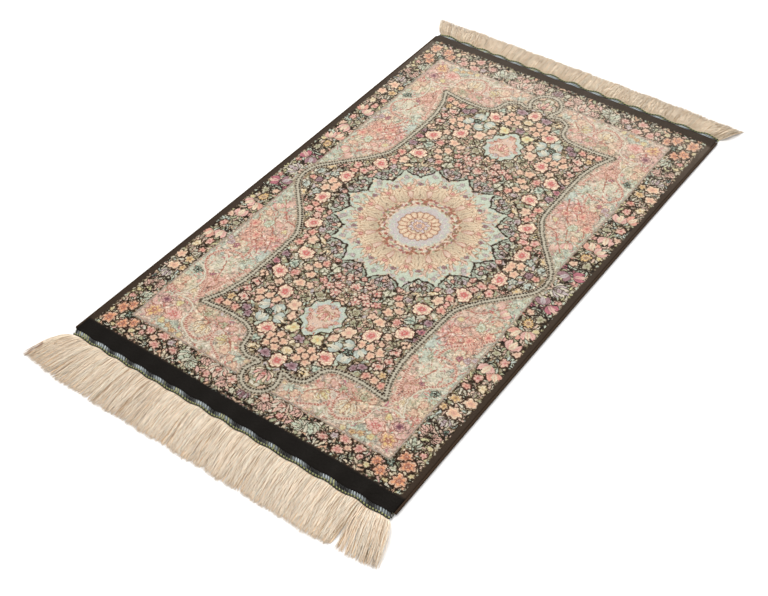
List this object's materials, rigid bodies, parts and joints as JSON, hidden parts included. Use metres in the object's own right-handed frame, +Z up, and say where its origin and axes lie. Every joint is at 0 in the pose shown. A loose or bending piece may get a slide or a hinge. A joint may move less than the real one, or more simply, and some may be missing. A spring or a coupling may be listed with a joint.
{
  "type": "persian rug",
  "caption": "Small rectangular silk pile rug lying flat, with overcast sides, stitched ends that ripple off the floor and long combed fringes.",
  "frame": {"origin": "on the surface that the rug lies on, under the middle of its outline with both fringes", "axes": "+X across the rug, +Y from the long-fringed near end to the far end, +Z up out of the pile"},
  "size_m": [0.5346, 0.9466, 0.0077],
  "materials": {
    "knotted_silk": "cut silk pile in many colours, softly lustrous",
    "binding_silk": "dark silk wound close, low sheen",
    "stitching_silk": "flat silk stitches, satin",
    "cord_silk": "twined two-colour silk, satin",
    "fringe_silk": "undyed silk threads, soft sheen"
  },
  "bodies": {
    "root": {"pile": "knotted_silk", "side_binding_left": "binding_silk", "side_binding_right": "binding_silk", "near_stitching": "stitching_silk", "far_stitching": "stitching_silk", "near_cord": "cord_silk", "far_cord": "cord_silk", "near_fringe": "fringe_silk", "far_fringe": "fringe_silk"}
  },
  "joints": []
}
